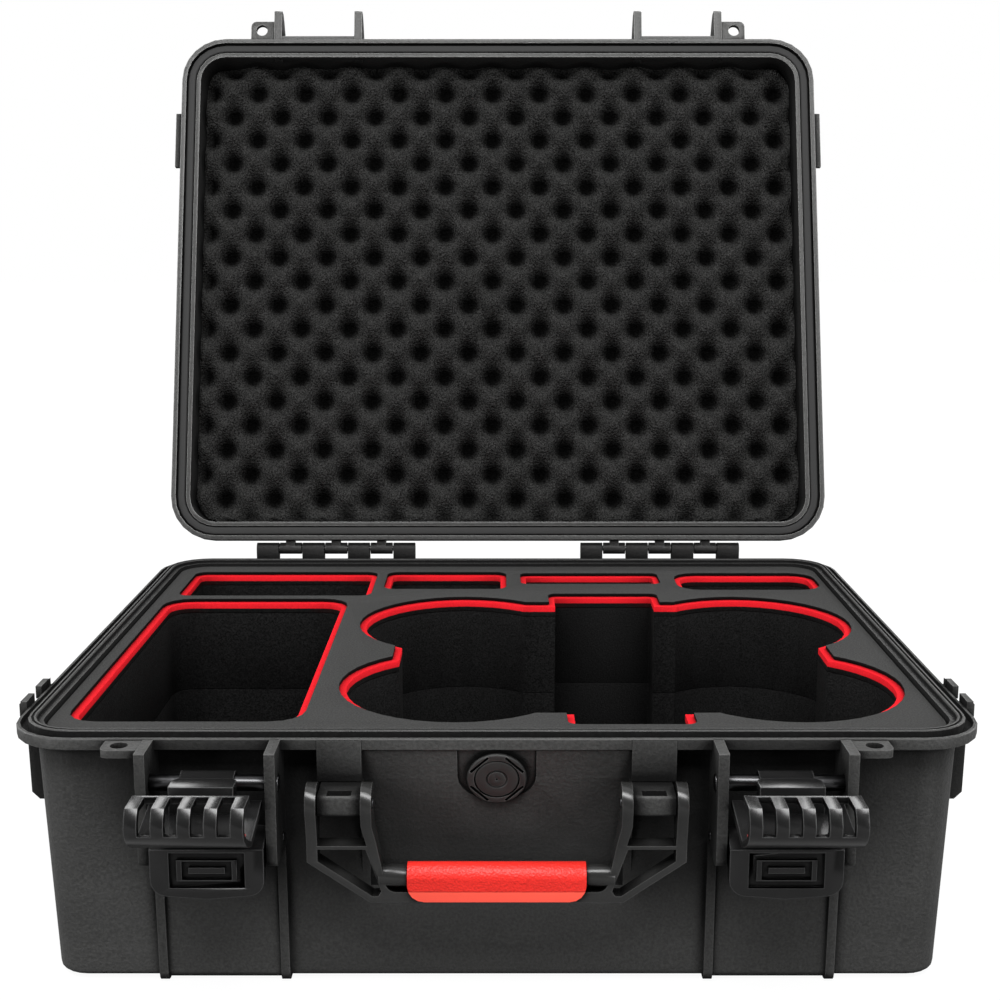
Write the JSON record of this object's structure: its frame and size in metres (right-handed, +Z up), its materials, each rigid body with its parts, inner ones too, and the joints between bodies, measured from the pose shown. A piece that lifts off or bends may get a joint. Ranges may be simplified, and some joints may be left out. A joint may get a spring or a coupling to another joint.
{
  "type": "drone carrying case",
  "caption": "Hard carrying case, open, with a hinged gasketed lid, claw latches, a bail handle, a vent valve and layered foam cut with pockets for a drone kit.",
  "frame": {"origin": "on the floor under the middle of the overall box of the open case", "axes": "+Z up, -Y toward the latches and the handle, +X to the right as seen from the front"},
  "size_m": [0.3768, 0.4796, 0.4122],
  "materials": {
    "shell": "fine moulded grain",
    "gloss_black": "satin",
    "valve_plastic": "satin",
    "black_foam": "open-cell foam",
    "red_foam": "closed-cell foam",
    "red_rubber": "smooth",
    "seal_rubber": "matte",
    "steel": "bright"
  },
  "bodies": {
    "case_base": {"base_shell": "shell", "valve_body": "valve_plastic", "valve_cap": "valve_plastic", "foam_floor_pad": "black_foam", "foam_lower_block": "black_foam", "foam_upper_block": "black_foam", "foam_top_layer": "black_foam", "foam_red_layer": "red_foam", "valve_seal": "seal_rubber", "valve_membrane": "seal_rubber", "hinge_pin_left": "steel", "claw_pin_left": "steel", "trigger_pin_left": "steel", "trigger_spring_left": "steel", "handle_pin_left": "steel", "hinge_pin_right": "steel", "claw_pin_right": "steel", "trigger_pin_right": "steel", "trigger_spring_right": "steel", "handle_pin_right": "steel"},
    "lid": {"lid_shell": "shell", "lid_gasket": "seal_rubber", "lid_foam": "black_foam"},
    "claw_left": {"claw_left": "gloss_black", "claw_pad_left": "red_rubber"},
    "claw_right": {"claw_right": "gloss_black", "claw_pad_right": "red_rubber"},
    "trigger_left": {"trigger_left": "gloss_black"},
    "trigger_right": {"trigger_right": "gloss_black"},
    "handle": {"handle_frame": "gloss_black", "handle_grip": "red_rubber"}
  },
  "joints": [
    {"name": "lid_hinge", "type": "hinge", "parent": "case_base", "child": "lid", "pos_m": [0, 0.11376, 0.1085], "axis": [1, 0, 0], "range_deg": [0, 107.8]},
    {"name": "claw_left_swing", "type": "hinge", "parent": "case_base", "child": "claw_left", "pos_m": [-0.10589, -0.19444, 0.089], "axis": [-1, 0, 0], "range_deg": [0, 90]},
    {"name": "trigger_left_press", "type": "hinge", "parent": "case_base", "child": "trigger_left", "pos_m": [-0.10589, -0.18444, 0.064], "axis": [1, 0, 0], "range_deg": [0, 8], "stiffness_Nm_per_rad": 0.15, "springref_deg": -20.05},
    {"name": "claw_right_swing", "type": "hinge", "parent": "case_base", "child": "claw_right", "pos_m": [0.10589, -0.19444, 0.089], "axis": [-1, 0, 0], "range_deg": [0, 90]},
    {"name": "trigger_right_press", "type": "hinge", "parent": "case_base", "child": "trigger_right", "pos_m": [0.10589, -0.18444, 0.064], "axis": [1, 0, 0], "range_deg": [0, 8], "stiffness_Nm_per_rad": 0.15, "springref_deg": -20.05},
    {"name": "handle_swing", "type": "hinge", "parent": "case_base", "child": "handle", "pos_m": [0, -0.19644, 0.082], "axis": [-1, 0, 0], "range_deg": [-8, 95]}
  ]
}
